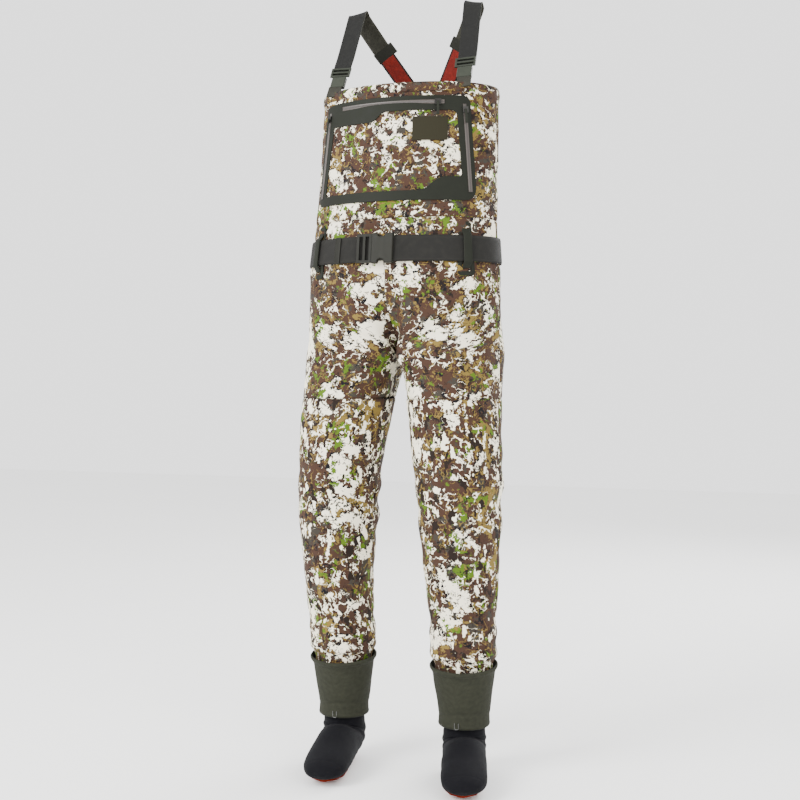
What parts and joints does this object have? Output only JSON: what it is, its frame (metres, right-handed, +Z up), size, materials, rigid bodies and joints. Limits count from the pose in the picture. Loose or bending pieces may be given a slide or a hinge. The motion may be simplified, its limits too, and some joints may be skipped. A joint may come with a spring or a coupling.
{
  "type": "chest waders",
  "caption": "Stockingfoot chest waders in camouflage cloth, with suspenders, a wading belt, a zipped chest pocket, gravel guards and neoprene socks.",
  "frame": {"origin": "midway between the tops of the two shoulder straps, which hold the waders up", "axes": "+Z up, -Y to the front, +X to the wearer's left"},
  "size_m": [0.4182, 0.3464, 1.5322],
  "materials": {
    "belt_buckle_plastic": "moulded acetal, satin",
    "belt_webbing": "ribbed nylon webbing",
    "camouflage_laminate": "matte woven laminate, camouflage print",
    "guard_neoprene": "jersey-faced neoprene, olive",
    "hook_wire": "bent wire",
    "knee_laminate": "heavier matte woven laminate, camouflage print",
    "label_weave": "dark woven patch, blank",
    "slider_metal": "die-cast, painted",
    "sock_neoprene": "jersey-faced neoprene, black",
    "sole_rubber": "dense foam rubber, red",
    "strap_buckle_plastic": "moulded acetal, satin",
    "strap_elastic": "red woven elastic",
    "strap_webbing": "ribbed nylon webbing",
    "welded_trim": "matte welded overlay film",
    "zip_coil": "nylon coil and cord"
  },
  "bodies": {
    "torso": {"back_yoke": "welded_trim", "belt_buckle_socket": "belt_buckle_plastic", "belt_keeper": "belt_buckle_plastic", "belt_loop_left": "welded_trim", "belt_loop_patch_left": "welded_trim", "belt_loop_patch_right": "welded_trim", "belt_loop_right": "welded_trim", "belt_webbing": "belt_webbing", "bib_back": "camouflage_laminate", "bib_front": "camouflage_laminate", "bib_hem": "camouflage_laminate", "label_patch": "label_weave", "left_zip_coil": "zip_coil", "pocket_frame": "welded_trim", "pocket_window": "camouflage_laminate", "right_zip_coil": "zip_coil", "seat_left": "camouflage_laminate", "seat_right": "camouflage_laminate", "shoulder_strap_left": "strap_webbing", "shoulder_strap_right": "strap_webbing", "strap_adjuster_left": "strap_buckle_plastic", "strap_adjuster_right": "strap_buckle_plastic", "strap_buckle_socket_left": "strap_buckle_plastic", "strap_buckle_socket_right": "strap_buckle_plastic", "strap_elastic_left": "strap_elastic", "strap_elastic_right": "strap_elastic", "strap_tab_left": "strap_webbing", "strap_tab_right": "strap_webbing", "top_zip_coil": "zip_coil", "waist_back": "camouflage_laminate", "waist_front": "camouflage_laminate"},
    "thigh_left": {"thigh_front_left": "camouflage_laminate", "thigh_back_left": "camouflage_laminate"},
    "shin_left": {"shin_front_left": "knee_laminate", "shin_back_left": "camouflage_laminate", "knee_fold_left": "knee_laminate", "gravel_guard_left": "guard_neoprene", "boot_hook_left": "hook_wire"},
    "foot_left": {"sock_left": "sock_neoprene", "sole_left": "sole_rubber"},
    "strap_insert_left": {"strap_buckle_insert_left": "strap_buckle_plastic"},
    "thigh_right": {"thigh_front_right": "camouflage_laminate", "thigh_back_right": "camouflage_laminate"},
    "shin_right": {"shin_front_right": "knee_laminate", "shin_back_right": "camouflage_laminate", "knee_fold_right": "knee_laminate", "gravel_guard_right": "guard_neoprene", "boot_hook_right": "hook_wire"},
    "foot_right": {"sock_right": "sock_neoprene", "sole_right": "sole_rubber"},
    "strap_insert_right": {"strap_buckle_insert_right": "strap_buckle_plastic"},
    "belt_insert": {"belt_buckle_insert": "belt_buckle_plastic"},
    "belt_arm_upper": {"belt_release_upper": "belt_buckle_plastic"},
    "belt_arm_lower": {"belt_release_lower": "belt_buckle_plastic"},
    "top_slider": {"top_zip_slider": "slider_metal"},
    "top_pull": {"top_zip_pull": "zip_coil"},
    "left_slider": {"left_zip_slider": "slider_metal"},
    "left_pull": {"left_zip_pull": "zip_coil"},
    "right_slider": {"right_zip_slider": "slider_metal"},
    "right_pull": {"right_zip_pull": "zip_coil"}
  },
  "joints": [
    {"name": "hip_left", "type": "hinge", "parent": "torso", "child": "thigh_left", "pos_m": [0.0995, 0, -0.63792], "axis": [-1, 0, 0], "range_deg": [-15, 65], "deforming": ["seat_left"]},
    {"name": "knee_left", "type": "hinge", "parent": "thigh_left", "child": "shin_left", "pos_m": [0.127, -0.035, -0.991], "axis": [1, 0, 0], "range_deg": [0, 85], "deforming": ["knee_fold_left"]},
    {"name": "ankle_left", "type": "hinge", "parent": "shin_left", "child": "foot_left", "pos_m": [0.127, -0.004, -1.438], "axis": [-0.9563, -0.2924, 0], "range_deg": [-20, 15], "stiffness_Nm_per_rad": 8},
    {"name": "hip_right", "type": "hinge", "parent": "torso", "child": "thigh_right", "pos_m": [-0.0995, 0, -0.63792], "axis": [-1, 0, 0], "range_deg": [-15, 65], "deforming": ["seat_right"]},
    {"name": "knee_right", "type": "hinge", "parent": "thigh_right", "child": "shin_right", "pos_m": [-0.127, -0.035, -0.991], "axis": [1, 0, 0], "range_deg": [0, 85], "deforming": ["knee_fold_right"]},
    {"name": "ankle_right", "type": "hinge", "parent": "shin_right", "child": "foot_right", "pos_m": [-0.127, -0.004, -1.438], "axis": [-0.9877, -0.1564, 0], "range_deg": [-20, 15], "stiffness_Nm_per_rad": 8},
    {"name": "strap_release_left", "type": "slide", "parent": "torso", "child": "strap_insert_left", "axis": [-0.0458, 0.4636, 0.8848], "range_m": [0, 0.022]},
    {"name": "strap_release_right", "type": "slide", "parent": "torso", "child": "strap_insert_right", "axis": [0.0458, 0.4636, 0.8848], "range_m": [0, 0.022]},
    {"name": "belt_release", "type": "slide", "parent": "torso", "child": "belt_insert", "axis": [-1, 0, 0], "range_m": [0, 0.03]},
    {"name": "belt_squeeze_upper", "type": "hinge", "parent": "belt_insert", "child": "belt_arm_upper", "pos_m": [-0.0201, -0.11681, -0.4875], "axis": [0, 0.9931, -0.1174], "range_deg": [0, 8], "stiffness_Nm_per_rad": 0.05, "springref_deg": -2.86},
    {"name": "belt_squeeze_lower", "type": "hinge", "parent": "belt_insert", "child": "belt_arm_lower", "pos_m": [-0.0201, -0.12174, -0.52921], "axis": [0, -0.9931, 0.1174], "range_deg": [0, 8], "stiffness_Nm_per_rad": 0.05, "springref_deg": -2.86},
    {"name": "top_zip", "type": "hinge", "parent": "torso", "child": "top_slider", "pos_m": [0, 0.21718, -0.225], "axis": [0, 0, 1], "range_deg": [-36.55, 0]},
    {"name": "top_zip_pull_lift", "type": "hinge", "parent": "top_slider", "child": "top_pull", "pos_m": [0.09533, -0.07154, -0.225], "axis": [-0.9496, -0.3135, 0], "range_deg": [0, 150]},
    {"name": "left_zip", "type": "slide", "parent": "torso", "child": "left_slider", "axis": [0.0875, -0.062, -0.9942], "range_m": [0, 0.149]},
    {"name": "left_zip_pull_lift", "type": "hinge", "parent": "left_slider", "child": "left_pull", "pos_m": [0.14382, -0.0472, -0.23937], "axis": [-0.848, -0.5283, -0.0417], "range_deg": [0, 150]},
    {"name": "right_zip", "type": "slide", "parent": "torso", "child": "right_slider", "axis": [-0.0875, -0.062, -0.9942], "range_m": [0, 0.149]},
    {"name": "right_zip_pull_lift", "type": "hinge", "parent": "right_slider", "child": "right_pull", "pos_m": [-0.14382, -0.0472, -0.23937], "axis": [-0.848, 0.5283, 0.0417], "range_deg": [0, 150]}
  ]
}
